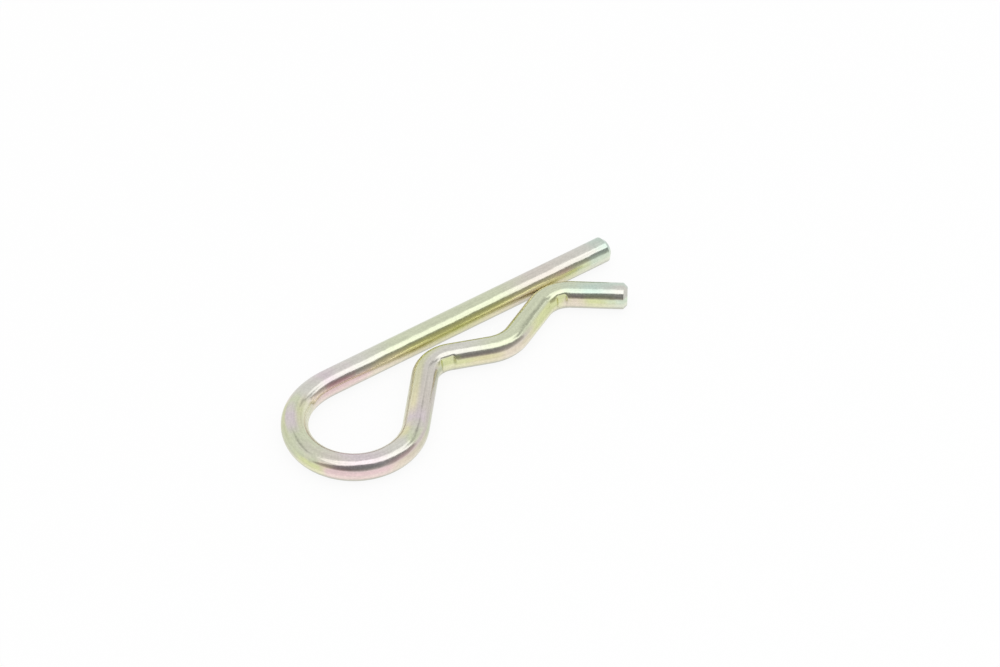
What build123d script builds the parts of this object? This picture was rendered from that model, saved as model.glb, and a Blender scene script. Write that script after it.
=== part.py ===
from build123d import *
import math
import os

# Hitch R clip pin, bent from one length of round spring wire.
# Millimetres, +Z up. The clip lies flat on the ground plane z = 0.
# The straight leg runs along +X to its tip, with the loop at its other end.
# The bent leg comes back from the loop beside the straight leg, on its -Y side.

# Wire
wire_diameter = 4.0

# Straight leg, from the end of the loop to its tip
straight_leg_length = 50.0

# Loop, three arcs that meet smoothly: inner radii, and turns in degrees
loop_entry_inner_radius = 10.0
loop_entry_turn = 22.0
loop_back_inner_radius = 6.7
loop_back_turn = 95.0
loop_front_inner_radius = 6.9
loop_front_turn = 112.0

# Throat, the tight bend where the loop closes on the straight leg
throat_inner_radius = 2.7
throat_turn = 70.0

# Bow that grips the shaft, between the two tight bends
bow_entry_length = 6.3
bow_inner_radius = 4.1
bow_turn = 47.0
bow_exit_length = 6.9

# Nose, the tight bend that rides over the shaft when the clip is pushed on
nose_inner_radius = 3.2
nose_turn = 63.0
nose_gap = 0.16

# Flared end that leads the shaft in
flare_length = 8.4

# Flats that the bending tool presses into the inner side of the two tight bends
throat_flat_length = 2.5
throat_flat_place = 0.85
nose_flat_length = 1.9
nose_flat_place = 0.64
bend_flat_depth = 0.35
bend_flat_tilt = 14.0

# Flat that the gripping jaw presses into the loop's upper inner side, where the loop starts
grip_flat_length = 3.2
grip_flat_depth = 0.06
grip_flat_place = 0.96
grip_flat_tilt = 31.0
grip_flat_turn = -4.0

# Sheared ends
end_bevel = 0.6

wire_radius = wire_diameter / 2


def bend(before, inner_radius, turn):
    """Arc of the centre line after another stretch; a positive turn is to the left."""
    return JernArc(before @ 1, before % 1, inner_radius + wire_radius, turn)


def run(before, length):
    """Straight stretch of the centre line that goes on after another stretch."""
    return Line(before @ 1, before @ 1 + (before % 1) * length)


def bent_leg_after(before):
    """Stretches of the bent leg, from the throat to the flared end."""
    throat = bend(before, throat_inner_radius, -throat_turn)
    bow_entry = run(throat, bow_entry_length)
    bow = bend(bow_entry, bow_inner_radius, bow_turn)
    bow_exit = run(bow, bow_exit_length)
    nose = bend(bow_exit, nose_inner_radius, -nose_turn)
    flare = run(nose, flare_length)
    return [throat, bow_entry, bow, bow_exit, nose, flare]


def flat_tool(arc, place, length, depth, tilt, turn=0.0):
    """Block whose face presses a flat, depth deep, into the inner side of a bend."""
    spot = arc @ place
    inwards = (arc.arc_center - spot).normalized().rotate(Axis.Z, turn)
    lean = math.radians(tilt)
    facing = inwards * math.cos(lean) + Vector(0, 0, math.sin(lean))
    lengthwise = (arc % place).rotate(Axis.Z, turn)
    face = Plane(spot + facing * (wire_radius - depth), x_dir=lengthwise, z_dir=facing)
    block = Box(length, 2 * wire_diameter, wire_radius, align=(Align.CENTER, Align.CENTER, Align.MIN))
    return face * block


# Centre line, one wire radius above the ground, from the straight leg's tip
tip = Vector(straight_leg_length, 0, wire_radius)
straight_leg = Line(tip, Vector(0, 0, wire_radius))
loop_entry = bend(straight_leg, loop_entry_inner_radius, loop_entry_turn)
loop_back = bend(loop_entry, loop_back_inner_radius, loop_back_turn)
loop_front = bend(loop_back, loop_front_inner_radius, loop_front_turn)

# The riser is as long as it takes to bring the nose to its gap from the straight leg
trial_nose = bent_leg_after(loop_front)[4]
trial_peak = trial_nose.arc_center.Y + trial_nose.radius
nose_peak = -(wire_diameter + nose_gap)
riser_length = (nose_peak - trial_peak) / (loop_front % 1).Y
riser = run(loop_front, riser_length)
bent_leg = bent_leg_after(riser)

centre_line = Wire([straight_leg, loop_entry, loop_back, loop_front, riser] + bent_leg)
section = Plane(tip, z_dir=centre_line % 0) * Circle(wire_radius)
clip = sweep(section, path=centre_line)

# Bevel the two sheared ends
round_edges = clip.edges().filter_by(GeomType.CIRCLE)
straight_end = round_edges.sort_by_distance(centre_line @ 0)[0]
flare_end = round_edges.sort_by_distance(centre_line @ 1)[0]
clip = chamfer([straight_end, flare_end], end_bevel)

# Press the flats into the inner sides of the bends
throat, nose = bent_leg[0], bent_leg[4]
clip -= flat_tool(throat, throat_flat_place, throat_flat_length, bend_flat_depth, bend_flat_tilt)
clip -= flat_tool(nose, nose_flat_place, nose_flat_length, bend_flat_depth, bend_flat_tilt)
clip -= flat_tool(loop_entry, grip_flat_place, grip_flat_length, grip_flat_depth, grip_flat_tilt,
                  grip_flat_turn)

# Origin: middle of the clip's box in plan, at ground level
box = clip.bounding_box()
clip = Pos(-box.center().X, -box.center().Y, -box.min.Z) * clip

os.makedirs("parts", exist_ok=True)
export_step(clip, "parts/r_clip.step")

box = clip.bounding_box()
print("solids", len(clip.solids()), "valid", clip.is_valid, "faces", len(clip.faces()))
print("box", box.min, box.max)
print("riser length", round(riser_length, 3), "wire length", round(centre_line.length, 2))
print("volume", round(clip.volume, 2), "section times length",
      round(math.pi * wire_radius ** 2 * centre_line.length, 2))
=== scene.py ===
import math

import bmesh
import bpy
from mathutils import Matrix, Vector


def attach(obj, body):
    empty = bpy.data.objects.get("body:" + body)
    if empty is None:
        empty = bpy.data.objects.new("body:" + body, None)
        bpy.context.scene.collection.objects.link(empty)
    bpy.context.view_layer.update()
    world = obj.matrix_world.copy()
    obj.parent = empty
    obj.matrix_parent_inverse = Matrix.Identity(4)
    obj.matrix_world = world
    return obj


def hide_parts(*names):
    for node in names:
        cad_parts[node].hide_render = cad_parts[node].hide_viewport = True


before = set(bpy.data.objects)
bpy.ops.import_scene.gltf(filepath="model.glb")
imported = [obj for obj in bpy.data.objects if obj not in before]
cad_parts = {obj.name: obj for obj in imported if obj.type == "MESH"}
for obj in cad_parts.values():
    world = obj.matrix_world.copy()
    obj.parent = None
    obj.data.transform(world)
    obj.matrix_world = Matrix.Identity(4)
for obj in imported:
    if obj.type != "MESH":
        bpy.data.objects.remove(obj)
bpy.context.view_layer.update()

# Hitch R clip pin: one spring wire, zinc plated with a yellow passivation, lying on a white table.

MM = 0.001

# Wire and bends, as the part was made: lengths and inner radii in mm, turns in degrees
WIRE_DIAMETER = 4.0
WIRE_RADIUS = WIRE_DIAMETER / 2
STRAIGHT_LEG = 50.0
LOOP_BENDS = [(10.0, 22.0), (6.7, 95.0), (6.9, 112.0)]
THROAT = (2.7, -70.0)
BOW_ENTRY = 6.3
BOW = (4.1, 47.0)
BOW_EXIT = 6.9
NOSE = (3.2, -63.0)
NOSE_GAP = 0.16
FLARE = 8.4
END_BEVEL = 0.6
SHARP_ANGLE = math.radians(30.0)

# Places of these stretches in the list that centre_line gives
LOOP_ENTRY_INDEX = 1
LOOP_BACK_INDEX = 2
LOOP_FRONT_INDEX = 3
RISER_INDEX = 4
THROAT_INDEX = 5
NOSE_INDEX = 9

# Flats that the bending tool and the gripping jaw leave
BEND_FLAT_DEPTH = 0.35
BEND_FLAT_TILT = 14.0
THROAT_FLAT_LENGTH = 2.5
THROAT_FLAT_PLACE = 0.85
NOSE_FLAT_LENGTH = 1.9
NOSE_FLAT_PLACE = 0.64
GRIP_FLAT_LENGTH = 3.2
GRIP_FLAT_DEPTH = 0.06
GRIP_FLAT_PLACE = 0.96
GRIP_FLAT_TILT = 31.0
GRIP_FLAT_TURN = -4.0
FLAT_EDGE_ROUND = 0.05
BEND_FLAT_WALL = 0.50
GRIP_FLAT_WALL = 1.6

# Mesh fineness: sides round the wire, then steps, margin and seam in mm
SIDES = 96
RING_STEP = 0.4
FINE_RING_STEP = 0.08
FINE_MARGIN = 0.6
SEAM_GAP = 0.01

UP = Vector((0.0, 0.0, 1.0))


class Stretch:
    """One straight run or bend of the wire's centre line."""

    def __init__(self, start, heading, length, radius=0.0, turn=0.0):
        self.start = start
        self.heading = heading
        self.length = length
        self.radius = radius
        self.turn = turn

    def at(self, along):
        """Place and heading after a distance along this stretch."""
        if self.turn == 0.0:
            step = Vector((math.cos(self.heading), math.sin(self.heading), 0.0))
            return self.start + step * along, self.heading
        side = math.copysign(1.0, self.turn)
        heading = self.heading + side * along / self.radius
        before = Vector((math.sin(self.heading), -math.cos(self.heading), 0.0))
        after = Vector((math.sin(heading), -math.cos(heading), 0.0))
        return self.start + (after - before) * (side * self.radius), heading

    def end(self):
        return self.at(self.length)

    def facing(self, degrees):
        """The place in this bend where the wire heads a given way."""
        side = math.copysign(1.0, self.turn)
        swing = (side * (math.radians(degrees) - self.heading)) % (2 * math.pi)
        return self.at(swing * self.radius)[0]


def add_run(stretches, length):
    start, heading = stretches[-1].end()
    stretches.append(Stretch(start, heading, length))


def add_bend(stretches, inner_radius, turn):
    start, heading = stretches[-1].end()
    radius = inner_radius + WIRE_RADIUS
    angle = math.radians(turn)
    stretches.append(Stretch(start, heading, radius * abs(angle), radius, angle))


def centre_line(riser_length):
    """The stretches from the straight leg's tip to the flared end, in mm."""
    tip = Vector((STRAIGHT_LEG, 0.0, 0.0))
    stretches = [Stretch(tip, math.pi, STRAIGHT_LEG)]
    for inner_radius, turn in LOOP_BENDS:
        add_bend(stretches, inner_radius, turn)
    add_run(stretches, riser_length)
    add_bend(stretches, *THROAT)
    add_run(stretches, BOW_ENTRY)
    add_bend(stretches, *BOW)
    add_run(stretches, BOW_EXIT)
    add_bend(stretches, *NOSE)
    add_run(stretches, FLARE)
    return stretches


def solve_riser():
    """Riser length that leaves the nose its gap from the straight leg."""
    trial = centre_line(0.0)
    crest = trial[NOSE_INDEX].facing(0.0).y
    rise = -(WIRE_DIAMETER + NOSE_GAP) - crest
    return rise / math.sin(trial[RISER_INDEX].heading)


def starts_of(stretches):
    """Distance along the wire at which each stretch starts."""
    starts = [0.0]
    for stretch in stretches:
        starts.append(starts[-1] + stretch.length)
    return starts


def locate(stretches, starts, along):
    """Place and heading at a distance along the whole wire."""
    for index, stretch in enumerate(stretches):
        if along <= starts[index + 1] or index == len(stretches) - 1:
            return stretch.at(along - starts[index])


def plan_centre(stretches):
    """Middle of the clip in plan, which is the part's origin."""
    left = stretches[LOOP_BACK_INDEX].facing(-90.0).x - WIRE_RADIUS
    front = stretches[LOOP_FRONT_INDEX].facing(0.0).y - WIRE_RADIUS
    return Vector(((left + STRAIGHT_LEG) / 2, (front + WIRE_RADIUS) / 2, 0.0))


LINE = centre_line(solve_riser())
STARTS = starts_of(LINE)
WIRE_LENGTH = STARTS[-1]
ORIGIN = plan_centre(LINE)


class Flat:
    """A flat pressed into the inner side of a bend."""

    def __init__(self, index, place, length, depth, wall, tilt, turn=0.0):
        stretch = LINE[index]
        self.wall = wall
        self.along = STARTS[index] + place * stretch.length
        self.length = length
        spot, heading = stretch.at(place * stretch.length)
        heading += math.radians(turn)
        side = math.copysign(1.0, stretch.turn)
        inwards = Vector((-math.sin(heading), math.cos(heading), 0.0)) * side
        lean = math.radians(tilt)
        self.facing = inwards * math.cos(lean) + UP * math.sin(lean)
        self.tangent = Vector((math.cos(heading), math.sin(heading), 0.0))
        self.origin = spot + self.facing * (WIRE_RADIUS - depth)

    def press(self, point):
        """Moves a point of the wire that lies under the tool's face back to that face."""
        offset = point - self.origin
        above = offset.dot(self.facing)
        inside = self.length / 2 - abs(offset.dot(self.tangent))
        share = min(max(inside / self.wall, 0.0), 1.0)
        share = share * share * (3 - 2 * share)
        reach = 2 * WIRE_RADIUS
        if share == 0.0 or above < -FLAT_EDGE_ROUND or offset.length > reach:
            return point
        softened = min(above, 0.0)
        if abs(above) < FLAT_EDGE_ROUND:
            softened = above - (above + FLAT_EDGE_ROUND) ** 2 / (4 * FLAT_EDGE_ROUND)
        return point - self.facing * ((above - softened) * share)


FLATS = [
    Flat(THROAT_INDEX, THROAT_FLAT_PLACE, THROAT_FLAT_LENGTH, BEND_FLAT_DEPTH, BEND_FLAT_WALL,
         BEND_FLAT_TILT),
    Flat(NOSE_INDEX, NOSE_FLAT_PLACE, NOSE_FLAT_LENGTH, BEND_FLAT_DEPTH, BEND_FLAT_WALL,
         BEND_FLAT_TILT),
    Flat(LOOP_ENTRY_INDEX, GRIP_FLAT_PLACE, GRIP_FLAT_LENGTH, GRIP_FLAT_DEPTH, GRIP_FLAT_WALL,
         GRIP_FLAT_TILT, GRIP_FLAT_TURN),
]


def ring_places():
    """Distances of the rings along the wire: fine at the flats, coarser between them."""
    clear_of_bevel = 2 * END_BEVEL
    places = [0.0, clear_of_bevel]
    while places[-1] < WIRE_LENGTH - clear_of_bevel - RING_STEP:
        here = places[-1]
        near = any(abs(here - flat.along) < flat.length / 2 + FINE_MARGIN for flat in FLATS)
        places.append(here + (FINE_RING_STEP if near else RING_STEP))
    places.append(WIRE_LENGTH)
    return places


def straight_wire():
    """Closed round bar along X before it is bent, in mm, with bevelled ends."""
    places = ring_places()
    runs = len(places) - 1
    bm = bmesh.new()
    bmesh.ops.create_grid(bm, x_segments=runs, y_segments=SIDES, size=1.0)
    for vert in bm.verts:
        ring = round((vert.co.x + 1) / 2 * runs)
        around = math.pi * vert.co.y
        vert.co = (places[ring], WIRE_RADIUS * math.cos(around), WIRE_RADIUS * math.sin(around))
    seam = [vert for vert in bm.verts if vert.co.y < 0 and abs(vert.co.z) < SEAM_GAP]
    bmesh.ops.remove_doubles(bm, verts=seam, dist=SEAM_GAP)
    rims = [edge for edge in bm.edges if edge.is_boundary]
    bmesh.ops.holes_fill(bm, edges=rims, sides=0)
    bmesh.ops.recalc_face_normals(bm, faces=bm.faces[:])
    caps = [face for face in bm.faces if len(face.verts) > 4]
    rims = [edge for face in caps for edge in face.edges]
    bmesh.ops.bevel(bm, geom=rims, offset=END_BEVEL, offset_type="OFFSET", segments=1,
                    profile=0.5, affect="EDGES", material=-1)
    return bm


def make_wire():
    """The clip: the straight wire bent along its line, with the flats pressed in."""
    bm = straight_wire()
    layer = bm.verts.layers.float_vector.new("unbent")
    for vert in bm.verts:
        vert[layer] = vert.co * MM
        along = vert.co.x
        place, heading = locate(LINE, STARTS, along)
        left = Vector((-math.sin(heading), math.cos(heading), 0.0))
        point = place - left * vert.co.y + UP * vert.co.z
        for flat in FLATS:
            if abs(along - flat.along) < flat.length:
                point = flat.press(point)
        vert.co = point
    bmesh.ops.recalc_face_normals(bm, faces=bm.faces[:])
    bmesh.ops.translate(bm, verts=bm.verts[:], vec=UP * WIRE_RADIUS - ORIGIN)
    bmesh.ops.scale(bm, verts=bm.verts[:], vec=Vector((MM, MM, MM)))
    mesh = bpy.data.meshes.new("bent_wire")
    bm.to_mesh(mesh)
    bm.free()
    mesh.shade_smooth()
    mesh.set_sharp_from_angle(angle=SHARP_ANGLE)
    piece = bpy.data.objects.new("bent_wire", mesh)
    bpy.context.scene.collection.objects.link(piece)
    mesh.materials.append(zinc_plate())
    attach(piece, "root")
    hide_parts("r_clip")


# Places of the colour sockets on a Mix node
MIX_FIRST = 6
MIX_SECOND = 7
MIX_RESULT = 2


def opaque(tint):
    return (*tint, 1.0)


class Shading:
    """Short calls that build the nodes of one material."""

    def __init__(self, name):
        self.material = bpy.data.materials.new(name)
        self.material.use_nodes = True
        self.nodes = self.material.node_tree.nodes
        self.links = self.material.node_tree.links

    def feed(self, socket, value):
        """Links a socket to an output, or sets it to a number or colour."""
        if isinstance(value, bpy.types.NodeSocket):
            self.links.new(value, socket)
        else:
            socket.default_value = value

    def attribute(self, name, output="Fac"):
        node = self.nodes.new("ShaderNodeAttribute")
        node.attribute_name = name
        return node.outputs[output]

    def glow(self, colour):
        """Makes the surface shine evenly in a colour."""
        node = self.nodes.new("ShaderNodeEmission")
        self.feed(node.inputs["Color"], colour)
        self.feed(self.nodes["Material Output"].inputs["Surface"], node.outputs[0])

    def fade(self, share):
        """Lets the surface be seen through where share is below 1."""
        output = self.nodes["Material Output"].inputs["Surface"]
        solid = output.links[0].from_socket
        clear = self.nodes.new("ShaderNodeBsdfTransparent")
        mixed = self.nodes.new("ShaderNodeMixShader")
        self.feed(mixed.inputs[0], share)
        self.feed(mixed.inputs[1], clear.outputs[0])
        self.feed(mixed.inputs[2], solid)
        self.feed(output, mixed.outputs[0])

    def maths(self, operation, first, second=0.0):
        node = self.nodes.new("ShaderNodeMath")
        node.operation = operation
        self.feed(node.inputs[0], first)
        self.feed(node.inputs[1], second)
        return node.outputs[0]

    def scaled(self, vector, factors):
        node = self.nodes.new("ShaderNodeVectorMath")
        node.operation = "MULTIPLY"
        self.feed(node.inputs[0], vector)
        node.inputs[1].default_value = factors
        return node.outputs[0]

    def noise(self, place, size, detail=2.0, roughness=0.5):
        """Noise from 0 to 1 with features about as large as size, in metres."""
        node = self.nodes.new("ShaderNodeTexNoise")
        self.feed(node.inputs["Vector"], place)
        node.inputs["Scale"].default_value = 1.0 / size
        node.inputs["Detail"].default_value = detail
        node.inputs["Roughness"].default_value = roughness
        return node.outputs["Fac"]

    def spread(self, value, low, high, to_low=0.0, to_high=1.0):
        """Maps a range smoothly to another."""
        node = self.nodes.new("ShaderNodeMapRange")
        node.interpolation_type = "SMOOTHSTEP"
        self.feed(node.inputs["Value"], value)
        node.inputs["From Min"].default_value = low
        node.inputs["From Max"].default_value = high
        node.inputs["To Min"].default_value = to_low
        node.inputs["To Max"].default_value = to_high
        return node.outputs["Result"]

    def ramp(self, value, stops, interpolation="EASE"):
        """Colours at places from 0 to 1."""
        node = self.nodes.new("ShaderNodeValToRGB")
        node.color_ramp.interpolation = interpolation
        elements = node.color_ramp.elements
        while len(elements) < len(stops):
            elements.new(1.0)
        for element, (place, colour) in zip(elements, stops):
            element.position = place
            element.color = opaque(colour)
        self.feed(node.inputs["Fac"], value)
        return node.outputs["Color"]

    def mix(self, share, first, second, blend="MIX"):
        node = self.nodes.new("ShaderNodeMix")
        node.data_type = "RGBA"
        node.blend_type = blend
        self.feed(node.inputs[0], share)
        self.feed(node.inputs[MIX_FIRST], first)
        self.feed(node.inputs[MIX_SECOND], second)
        return node.outputs[MIX_RESULT]


# Tints of the passivation film over the zinc
SILVER = (0.60, 0.59, 0.54)
PEWTER = (0.59, 0.57, 0.58)
MINT = (0.66, 0.74, 0.60)
AQUA = (0.50, 0.60, 0.53)
SAGE = (0.58, 0.61, 0.45)
LIME = (0.69, 0.72, 0.40)
STRAW = (0.74, 0.69, 0.43)
OLIVE = (0.63, 0.64, 0.28)
MOSS = (0.60, 0.61, 0.37)
CREAM = (0.77, 0.68, 0.56)
BLUSH = (0.77, 0.67, 0.60)
TAN = (0.72, 0.58, 0.47)
ROSE = (0.80, 0.61, 0.61)
LILAC = (0.62, 0.55, 0.57)
PUTTY = (0.59, 0.55, 0.50)
MAUVE = (0.62, 0.49, 0.51)
MAROON = (0.60, 0.38, 0.41)

# Film on the sides, by distance along the wire in mm
SIDE_FILM = [
    (0.0, MINT), (4.0, MINT), (7.5, LIME), (11.0, STRAW), (16.0, CREAM), (21.0, STRAW),
    (28.0, OLIVE), (36.0, STRAW), (42.0, CREAM), (46.0, ROSE), (51.5, ROSE), (55.0, BLUSH),
    (58.0, MOSS), (65.5, SAGE), (67.5, LIME), (70.0, ROSE), (76.0, ROSE), (80.5, CREAM),
    (86.0, SAGE), (92.0, PUTTY), (98.0, SAGE), (101.5, LIME), (107.0, STRAW), (112.0, CREAM),
    (117.0, LIME), (124.0, LIME), (127.5, CREAM), (130.5, LIME), (133.5, MINT),
]

# Film where the sides turn over to the top, by distance along the wire in mm
SHOULDER_FILM = [
    (0.0, AQUA), (4.0, AQUA), (6.5, SAGE), (9.0, TAN), (13.0, STRAW), (22.0, OLIVE),
    (34.0, OLIVE), (40.0, STRAW), (46.5, PUTTY), (48.2, MAROON), (50.4, MAROON), (52.4, BLUSH),
    (56.0, BLUSH), (58.5, MOSS), (66.5, SAGE), (68.8, CREAM), (71.0, MAUVE), (75.0, PEWTER),
    (80.0, MAUVE), (85.0, PUTTY), (97.0, PUTTY), (100.2, LIME), (101.8, LIME), (103.4, PUTTY),
    (113.0, PUTTY), (118.0, LIME), (125.5, LIME), (127.5, PUTTY), (131.0, SAGE), (134.0, SILVER),
]

# Film on top, by distance along the wire in mm
TOP_FILM = [
    (0.0, AQUA), (4.5, SILVER), (13.0, PUTTY), (20.0, SAGE), (28.0, SAGE), (38.0, SAGE),
    (46.0, SILVER), (50.0, LILAC), (54.0, SILVER), (57.0, SAGE), (60.0, LILAC), (64.5, SAGE),
    (70.0, PUTTY), (74.0, LILAC), (81.0, SILVER), (83.5, SAGE), (86.5, LILAC), (91.0, PUTTY),
    (103.0, SILVER), (111.0, SAGE), (124.0, SAGE), (130.0, AQUA), (134.0, SILVER),
]

# Film on the loop's inner side and the bent leg's back, by distance along the wire in mm
INNER_FILM = [
    (52.0, BLUSH), (55.5, BLUSH), (58.0, MOSS), (66.0, SAGE), (73.0, LILAC), (80.0, SILVER),
    (83.5, STRAW), (86.0, LILAC), (89.5, STRAW), (98.0, MOSS), (104.0, SILVER), (111.0, SAGE),
    (124.0, SAGE), (134.0, AQUA),
]
INNER_SHARE = 0.75

# A lighter, warmer tint low on the sides; painted shade underneath, a darker grey that stands for
# the table's shadow mirrored in the wire; and round the inner rim a lighter painted tint over the
# dark reflection of the clip's other parts, with a rougher finish
LOW_SIDE_TINT = (1.00, 0.92, 0.80)
LOW_SIDE_SHARE = 0.35
UNDERSIDE_SHADE = (0.57, 0.57, 0.48)
INNER_RIM_TINT = (0.80, 0.79, 0.63)
INNER_RIM_ROUGHNESS = 0.36

# Heights over the wire's middle between which one film or painted tint gives way to the next, in
# wire radii
SHOULDER_STARTS = (0.36, 0.60)
TOP_STARTS = (0.64, 0.84)
LOW_SIDE_STARTS = (0.25, -0.05)
UNDERSIDE_SHADE_STARTS = (-0.1, -0.5)

# The same across the wire: above 0 on the straight leg's back and the loop's outside
LEG_BACK_STARTS = (0.2, 0.5)
INNER_STARTS = (0.1, -0.35)
INNER_RIM_STARTS = (-0.48, -0.80)

# Distances past the straight leg between which its film gives way to the loop's, in mm
LOOP_STARTS = (4.0, 8.0)

# How far the film's bands wander along the wire, and how coarse that is, in m
FILM_WANDER = 6.0 * MM
FILM_PATCH = 3.5 * MM

# The range that most of a noise lies in
NOISE_SPAN = (0.3, 0.7)

# Mottling and drawing streaks: their sizes in m, and the shades between which they swing
MOTTLE_SIZE = 0.35 * MM
MOTTLE_SHADES = (0.94, 1.06)
STREAK_SIZE = 0.3 * MM
STREAK_SQUEEZE = (0.05, 1.0, 1.0)
STREAK_SHADES = (0.95, 1.05)
BRIGHT_ROUGHNESS = (0.13, 0.20)

# Relief: sizes and heights in m, and the noise values between which scuffs start
SWELL_SIZE = 4.0 * MM
SWELL_HEIGHT = 0.100 * MM
WAVE_SIZE = 1.4 * MM
WAVE_HEIGHT = 0.026 * MM
GRAIN_HEIGHT = 0.0008 * MM
SCUFF_PATCH = 3.0 * MM
SCUFF_STARTS = (0.62, 0.72)
SCUFF_SIZE = 0.4 * MM
SCUFF_HEIGHT = 0.012 * MM


def film_ramp(build, along, film):
    """Film tints by distance along the wire, as a share of its length."""
    return build.ramp(along, [(mm / WIRE_LENGTH, tint) for mm, tint in film])


def past_edge(build, place, edges, to_high=1.0):
    """Mask that rises between two edges given in wire radii."""
    low, high = edges
    radius = WIRE_RADIUS * MM
    return build.spread(place, low * radius, high * radius, 0.0, to_high)


def zinc_film(build, place):
    """Colour of the passivation film, with painted shade underneath and a painted lighter tint
    round the inner rim, and a mask of that rim.
    """
    split = build.nodes.new("ShaderNodeSeparateXYZ")
    build.feed(split.inputs[0], place)
    along, side, height = split.outputs["X"], split.outputs["Y"], split.outputs["Z"]

    # Film bands that wander along the wire
    patch = build.noise(place, FILM_PATCH)
    wander = build.maths("MULTIPLY", build.maths("SUBTRACT", patch, 0.5), FILM_WANDER)
    drifted = build.maths("DIVIDE", build.maths("ADD", along, wander), WIRE_LENGTH * MM)
    sides = film_ramp(build, drifted, SIDE_FILM)
    top = film_ramp(build, drifted, TOP_FILM)
    shoulder = film_ramp(build, drifted, SHOULDER_FILM)
    inner = film_ramp(build, drifted, INNER_FILM)

    # From the sides up to the shoulder, lighter and warmer low on the sides, and down to the
    # painted shade underneath
    film = build.mix(past_edge(build, height, SHOULDER_STARTS), sides, shoulder)
    low_side = past_edge(build, height, LOW_SIDE_STARTS, LOW_SIDE_SHARE)
    film = build.mix(low_side, film, opaque(LOW_SIDE_TINT))
    # Painted shade underneath: a darker grey for the table's shadow that the wire mirrors
    under = past_edge(build, height, UNDERSIDE_SHADE_STARTS)
    film = build.mix(under, film, opaque(UNDERSIDE_SHADE))

    # The top's film, which also covers the straight leg's back
    loop_from, loop_to = LOOP_STARTS
    past_leg = build.spread(along, (STRAIGHT_LEG + loop_from) * MM, (STRAIGHT_LEG + loop_to) * MM)
    leg_back = past_edge(build, side, LEG_BACK_STARTS)
    leg_back = build.maths("MULTIPLY", leg_back, build.maths("SUBTRACT", 1.0, past_leg))
    upwards = past_edge(build, height, TOP_STARTS)
    film = build.mix(build.maths("MAXIMUM", upwards, leg_back), film, top)

    # The inner side past the straight leg, and its rim in a lighter tint, painted over the dark
    # reflection of the clip's other parts
    inwards = past_edge(build, side, INNER_STARTS, INNER_SHARE)
    film = build.mix(build.maths("MULTIPLY", inwards, past_leg), film, inner)
    rim = build.maths("MULTIPLY", past_edge(build, side, INNER_RIM_STARTS), past_leg)
    return build.mix(rim, film, opaque(INNER_RIM_TINT)), rim


def zinc_plate():
    """Bright zinc with a yellow passivation, whose film shifts from lime to rose."""
    build = Shading("zinc_plate")
    shader = build.nodes["Principled BSDF"]
    shader.inputs["Metallic"].default_value = 1.0
    place = build.attribute("unbent", "Vector")
    film, rim = zinc_film(build, place)

    # Fine mottling and drawing streaks
    mottle = build.noise(place, MOTTLE_SIZE, detail=3.0, roughness=0.6)
    mottled = build.spread(mottle, *NOISE_SPAN, *MOTTLE_SHADES)
    streak = build.noise(build.scaled(place, STREAK_SQUEEZE), STREAK_SIZE)
    streaked = build.spread(streak, *NOISE_SPAN, *STREAK_SHADES)
    shade = build.maths("MULTIPLY", mottled, streaked)
    grey = build.nodes.new("ShaderNodeCombineColor")
    for channel in grey.inputs:
        build.feed(channel, shade)
    build.feed(shader.inputs["Base Color"], build.mix(1.0, film, grey.outputs[0], "MULTIPLY"))

    # Bright film, rougher round the inner rim to blur the dark reflection there
    rim_roughness = build.maths("MULTIPLY", rim, INNER_RIM_ROUGHNESS)
    bright = build.spread(mottle, *NOISE_SPAN, *BRIGHT_ROUGHNESS)
    build.feed(shader.inputs["Roughness"], build.maths("MAXIMUM", bright, rim_roughness))

    # Slight waviness, drawn grain and scuffs
    swell = build.maths("MULTIPLY", build.noise(place, SWELL_SIZE, detail=0.0), SWELL_HEIGHT)
    waves = build.maths("MULTIPLY", build.noise(place, WAVE_SIZE, detail=1.0), WAVE_HEIGHT)
    grain = build.maths("MULTIPLY", streak, GRAIN_HEIGHT)
    scuffed = build.spread(build.noise(place, SCUFF_PATCH, detail=1.0), *SCUFF_STARTS)
    scuff = build.maths("MULTIPLY", build.noise(place, SCUFF_SIZE), SCUFF_HEIGHT)
    scuff = build.maths("MULTIPLY", scuff, scuffed)
    relief = build.maths("ADD", build.maths("ADD", swell, waves), build.maths("ADD", grain, scuff))
    bump = build.nodes.new("ShaderNodeBump")
    bump.inputs["Strength"].default_value = 1.0
    bump.inputs["Distance"].default_value = 1.0
    build.feed(bump.inputs["Height"], relief)
    build.feed(shader.inputs["Normal"], bump.outputs["Normal"])
    return build.material


# Camera at the photograph's viewing angle: distance and sensor in mm, near and far limits in m
CAMERA_AZIMUTH = math.radians(-34.63)
CAMERA_ELEVATION = math.radians(45.36)
CAMERA_DISTANCE = 593.3
FOCAL_PIXELS = 4031.1
SENSOR_WIDTH = 36.0
CLIP_NEAR = 0.01
CLIP_FAR = 10.0
PHOTO_WIDTH = 1000
PHOTO_HEIGHT = 667
# A point between the legs, in mm from the loop's end of the straight leg, and its pixel
SIGHT_POINT = Vector((16.0, -6.0, 2.0))
SIGHT_PIXEL = (441.65, 362.73)

# The camera's own directions
CAMERA_RIGHT = Vector((math.cos(CAMERA_AZIMUTH), math.sin(CAMERA_AZIMUTH), 0.0))
CAMERA_BACK = Vector((
    math.sin(CAMERA_AZIMUTH) * math.cos(CAMERA_ELEVATION),
    -math.cos(CAMERA_AZIMUTH) * math.cos(CAMERA_ELEVATION),
    math.sin(CAMERA_ELEVATION),
))
CAMERA_UP = CAMERA_BACK.cross(CAMERA_RIGHT)
TOWARDS_CAMERA = Vector((math.sin(CAMERA_AZIMUTH), -math.cos(CAMERA_AZIMUTH), 0.0))


def aim(thing, right, back, eye):
    """Places a lamp or camera at a point in metres, looking against back."""
    turned = Matrix((right, back.cross(right), back)).transposed().to_4x4()
    turned.translation = eye
    thing.matrix_world = turned
    bpy.context.scene.collection.objects.link(thing)


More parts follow.
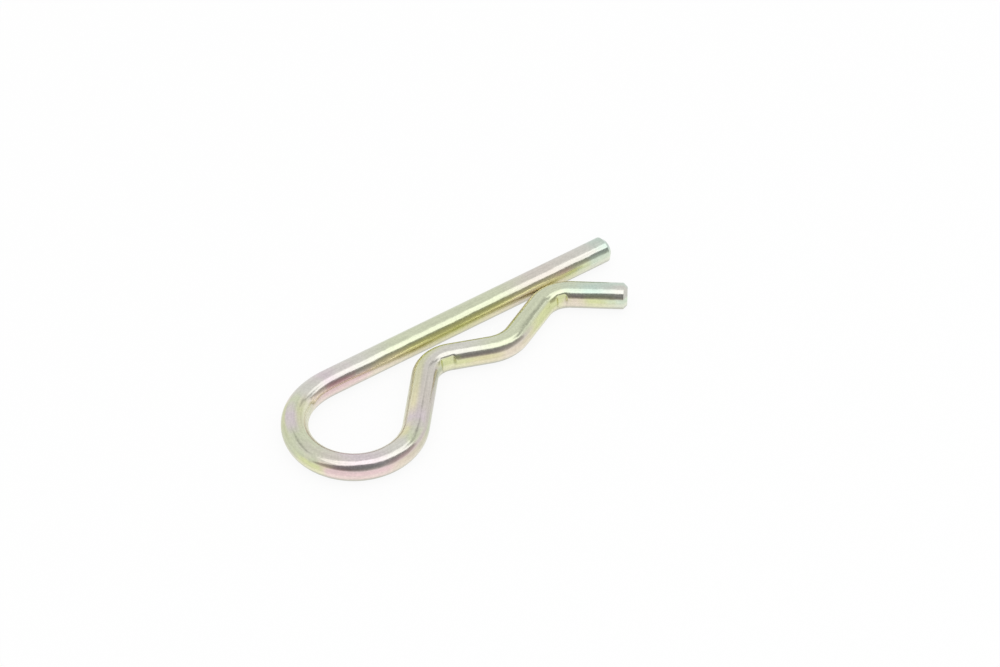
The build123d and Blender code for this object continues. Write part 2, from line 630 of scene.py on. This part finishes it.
def make_camera():
    """Camera that puts the sight point on its pixel of the photograph."""
    across = (SIGHT_PIXEL[0] - PHOTO_WIDTH / 2) / FOCAL_PIXELS * CAMERA_DISTANCE
    down = (SIGHT_PIXEL[1] - PHOTO_HEIGHT / 2) / FOCAL_PIXELS * CAMERA_DISTANCE
    eye = SIGHT_POINT - ORIGIN + CAMERA_BACK * CAMERA_DISTANCE
    eye += CAMERA_UP * down - CAMERA_RIGHT * across
    data = bpy.data.cameras.new("camera")
    data.sensor_width = SENSOR_WIDTH
    data.lens = FOCAL_PIXELS / PHOTO_WIDTH * SENSOR_WIDTH
    data.clip_start = CLIP_NEAR
    data.clip_end = CLIP_FAR
    camera = bpy.data.objects.new("camera", data)
    aim(camera, CAMERA_RIGHT, CAMERA_BACK, eye * MM)
    bpy.context.scene.camera = camera


# Studio: lengths in metres, angles in degrees
WHITE = (1.0, 1.0, 1.0)
FLOOR_SIZE = 4.0
FLOOR_GREY = 0.88
STRIP_HEIGHT = 0.70
STRIP_LENGTH = 1.40
STRIP_WIDTH = 0.55
STRIP_FORWARD = 0.087
STRIP_SIDEWAYS = 0.28
STRIP_TURN = math.radians(-24.0)
STRIP_RADIANCE = 0.66
CARD_RADIUS = 0.50
CARD_STEPS = 48
ZENITH = 90.0

# Glowing dark card on the camera's side, whose painted shades show only as a reflection in the
# wire: its edges, and its shades by elevation at its middle and ends
FRONT_CARD = {"low": 4.0, "high": 84.0, "left": -60.0, "right": 92.0}
FRONT_MIDDLE = [
    (6.0, WHITE), (12.0, (0.58, 0.54, 0.50)), (18.0, (0.38, 0.35, 0.32)),
    (27.0, (0.25, 0.24, 0.23)), (40.0, (0.28, 0.28, 0.28)), (56.0, (0.33, 0.33, 0.33)),
    (69.0, (0.40, 0.38, 0.40)),
]
FRONT_ENDS = [
    (6.0, WHITE), (11.0, (0.68, 0.65, 0.60)), (18.0, (0.58, 0.56, 0.52)),
    (29.0, (0.45, 0.44, 0.42)), (44.0, (0.39, 0.39, 0.38)), (69.0, (0.43, 0.42, 0.43)),
]
# Azimuth at which the card is darkest, and how far its ends start from there
FRONT_DARKEST = -3.0
FRONT_END_FROM = 2.0
FRONT_END_TO = 72.0
# The card's upper edge runs along the softbox at this lean from straight up, and leans
# further out towards its right end, between these azimuths
FRONT_EDGE_LEAN = 0.54
FRONT_EDGE_BLUR = 0.03
FRONT_EDGE_FALL = 0.16
FRONT_FALL_FROM = -5.0
FRONT_FALL_TO = 55.0

# Glowing grey strips behind the clip on both sides, which paint faint dark streaks into the wire's
# reflection: their edges and shades by elevation
RIGHT_STREAK_CARD = {"low": 38.0, "high": 54.0, "left": 96.0, "right": 150.0}
LEFT_STREAK_CARD = {"low": 40.0, "high": 52.0, "left": -132.0, "right": -84.0}
STREAK_CARD_SHADES = [(38.0, WHITE), (46.0, (0.52, 0.52, 0.52)), (54.0, WHITE)]

# Even fill light, and how white the table shows to the camera and in the wire
WORLD_FILL = 0.92
FLOOR_CAMERA_WHITE = 0.90
FLOOR_MIRROR_WHITE = 0.60


def seen_or_mirrored(nodes, links):
    """Light Path's outputs for camera rays, and for rays that a mirror or glass sends on."""
    path = nodes.new("ShaderNodeLightPath")
    either = nodes.new("ShaderNodeMath")
    either.operation = "MAXIMUM"
    links.new(path.outputs["Is Glossy Ray"], either.inputs[0])
    links.new(path.outputs["Is Transmission Ray"], either.inputs[1])
    return path.outputs["Is Camera Ray"], either.outputs[0]


def make_world():
    """Even fill light, seen and mirrored as white."""
    world = bpy.data.worlds.new("studio")
    bpy.context.scene.world = world
    world.use_nodes = True
    nodes, links = world.node_tree.nodes, world.node_tree.links
    fill = nodes["Background"]
    fill.inputs["Strength"].default_value = WORLD_FILL
    fill.inputs["Color"].default_value = opaque(WHITE)
    white = nodes.new("ShaderNodeBackground")
    white.inputs["Strength"].default_value = 1.0
    white.inputs["Color"].default_value = opaque(WHITE)
    camera_ray, mirror_ray = seen_or_mirrored(nodes, links)
    shown = nodes.new("ShaderNodeMath")
    shown.operation = "MAXIMUM"
    links.new(camera_ray, shown.inputs[0])
    links.new(mirror_ray, shown.inputs[1])
    mixed = nodes.new("ShaderNodeMixShader")
    links.new(shown.outputs[0], mixed.inputs[0])
    links.new(fill.outputs[0], mixed.inputs[1])
    links.new(white.outputs[0], mixed.inputs[2])
    links.new(mixed.outputs[0], nodes["World Output"].inputs["Surface"])


def make_floor():
    """White table that keeps a faint shadow."""
    build = Shading("white_table")
    nodes, links = build.nodes, build.links
    matt = nodes.new("ShaderNodeBsdfDiffuse")
    matt.inputs["Color"].default_value = opaque((FLOOR_GREY, FLOOR_GREY, FLOOR_GREY))
    white = nodes.new("ShaderNodeEmission")
    white.inputs["Strength"].default_value = 1.0
    camera_ray, mirror_ray = seen_or_mirrored(nodes, links)
    camera_share = build.maths("MULTIPLY", camera_ray, FLOOR_CAMERA_WHITE)
    mirror_share = build.maths("MULTIPLY", mirror_ray, FLOOR_MIRROR_WHITE)
    share = build.maths("MAXIMUM", camera_share, mirror_share)
    mixed = nodes.new("ShaderNodeMixShader")
    build.feed(mixed.inputs[0], share)
    build.feed(mixed.inputs[1], matt.outputs[0])
    build.feed(mixed.inputs[2], white.outputs[0])
    build.feed(nodes["Material Output"].inputs["Surface"], mixed.outputs[0])

    bm = bmesh.new()
    bmesh.ops.create_grid(bm, x_segments=1, y_segments=1, size=FLOOR_SIZE / 2)
    mesh = bpy.data.meshes.new("table")
    bm.to_mesh(mesh)
    bm.free()
    table = bpy.data.objects.new("table", mesh)
    bpy.context.scene.collection.objects.link(table)
    mesh.materials.append(build.material)


def make_strip():
    """Long narrow softbox above the clip, which draws the bright line along the wire."""
    data = bpy.data.lights.new("strip_softbox", "AREA")
    data.shape = "RECTANGLE"
    data.size = STRIP_LENGTH
    data.size_y = STRIP_WIDTH
    data.energy = STRIP_RADIANCE * math.pi * STRIP_LENGTH * STRIP_WIDTH
    lamp = bpy.data.objects.new("strip_softbox", data)
    place = TOWARDS_CAMERA * STRIP_FORWARD + CAMERA_RIGHT * STRIP_SIDEWAYS
    place.z = STRIP_HEIGHT
    lengthwise = CAMERA_RIGHT * math.cos(STRIP_TURN) + TOWARDS_CAMERA * math.sin(STRIP_TURN)
    aim(lamp, lengthwise, UP, place)


def curved_card(name, edges):
    """Part of a sphere round the clip, between edges given in degrees."""
    bm = bmesh.new()
    low, high = math.radians(edges["low"]), math.radians(edges["high"])
    left, right = math.radians(edges["left"]), math.radians(edges["right"])
    start = TOWARDS_CAMERA * math.cos(low) + UP * math.sin(low)
    first = bmesh.ops.create_vert(bm, co=start * CARD_RADIUS)["vert"]
    bmesh.ops.spin(bm, geom=first, cent=Vector(), axis=CAMERA_RIGHT, steps=CARD_STEPS,
                   angle=low - high, use_duplicate=False)
    bmesh.ops.rotate(bm, verts=bm.verts[:], cent=Vector(), matrix=Matrix.Rotation(left, 3, "Z"))
    bmesh.ops.spin(bm, geom=bm.verts[:] + bm.edges[:], cent=Vector(), axis=UP, steps=CARD_STEPS,
                   angle=right - left, use_duplicate=False)
    elevation = bm.verts.layers.float.new("elevation")
    azimuth = bm.verts.layers.float.new("azimuth")
    lean = bm.verts.layers.float.new("lean")
    for vert in bm.verts:
        across = vert.co.dot(CAMERA_RIGHT)
        forward = vert.co.dot(TOWARDS_CAMERA)
        vert[elevation] = math.degrees(math.asin(vert.co.z / CARD_RADIUS))
        vert[azimuth] = math.degrees(math.atan2(across, forward))
        vert[lean] = (forward - across * math.tan(STRIP_TURN)) / vert.co.z
    mesh = bpy.data.meshes.new(name)
    bm.to_mesh(mesh)
    bm.free()
    card = bpy.data.objects.new(name, mesh)
    card.visible_camera = False
    card.visible_diffuse = False
    card.visible_shadow = False
    bpy.context.scene.collection.objects.link(card)
    return card


def card_shade(build, shades):
    """Shades of a card by its elevation in degrees."""
    height = build.maths("DIVIDE", build.attribute("elevation"), ZENITH)
    return build.ramp(height, [(degrees / ZENITH, tint) for degrees, tint in shades], "LINEAR")


def make_front_card():
    """Glowing card curved round the camera's side, painted in dark shades and seen only as a
    reflection in the wire.
    """
    card = curved_card("front_card", FRONT_CARD)
    build = Shading("front_card")
    azimuth = build.attribute("azimuth")
    aside = build.maths("ABSOLUTE", build.maths("SUBTRACT", azimuth, FRONT_DARKEST))
    ends = build.spread(aside, FRONT_END_FROM, FRONT_END_TO)
    build.glow(build.mix(ends, card_shade(build, FRONT_MIDDLE), card_shade(build, FRONT_ENDS)))
    fall = build.spread(azimuth, FRONT_FALL_FROM, FRONT_FALL_TO, 0.0, FRONT_EDGE_FALL)
    lean = build.maths("SUBTRACT", build.attribute("lean"), fall)
    edge_low, edge_high = FRONT_EDGE_LEAN - FRONT_EDGE_BLUR, FRONT_EDGE_LEAN + FRONT_EDGE_BLUR
    build.fade(build.spread(lean, edge_low, edge_high))
    card.data.materials.append(build.material)


def make_streak_card(name, edges):
    """Glowing grey strip behind the clip, seen only as a faint painted streak in the wire's
    reflection.
    """
    card = curved_card(name, edges)
    build = Shading(name)
    build.glow(card_shade(build, STREAK_CARD_SHADES))
    card.data.materials.append(build.material)


make_wire()
make_camera()
make_world()
make_floor()
make_strip()
make_front_card()
make_streak_card("right_streak_card", RIGHT_STREAK_CARD)
make_streak_card("left_streak_card", LEFT_STREAK_CARD)

bpy.context.scene.view_settings.view_transform = "Standard"
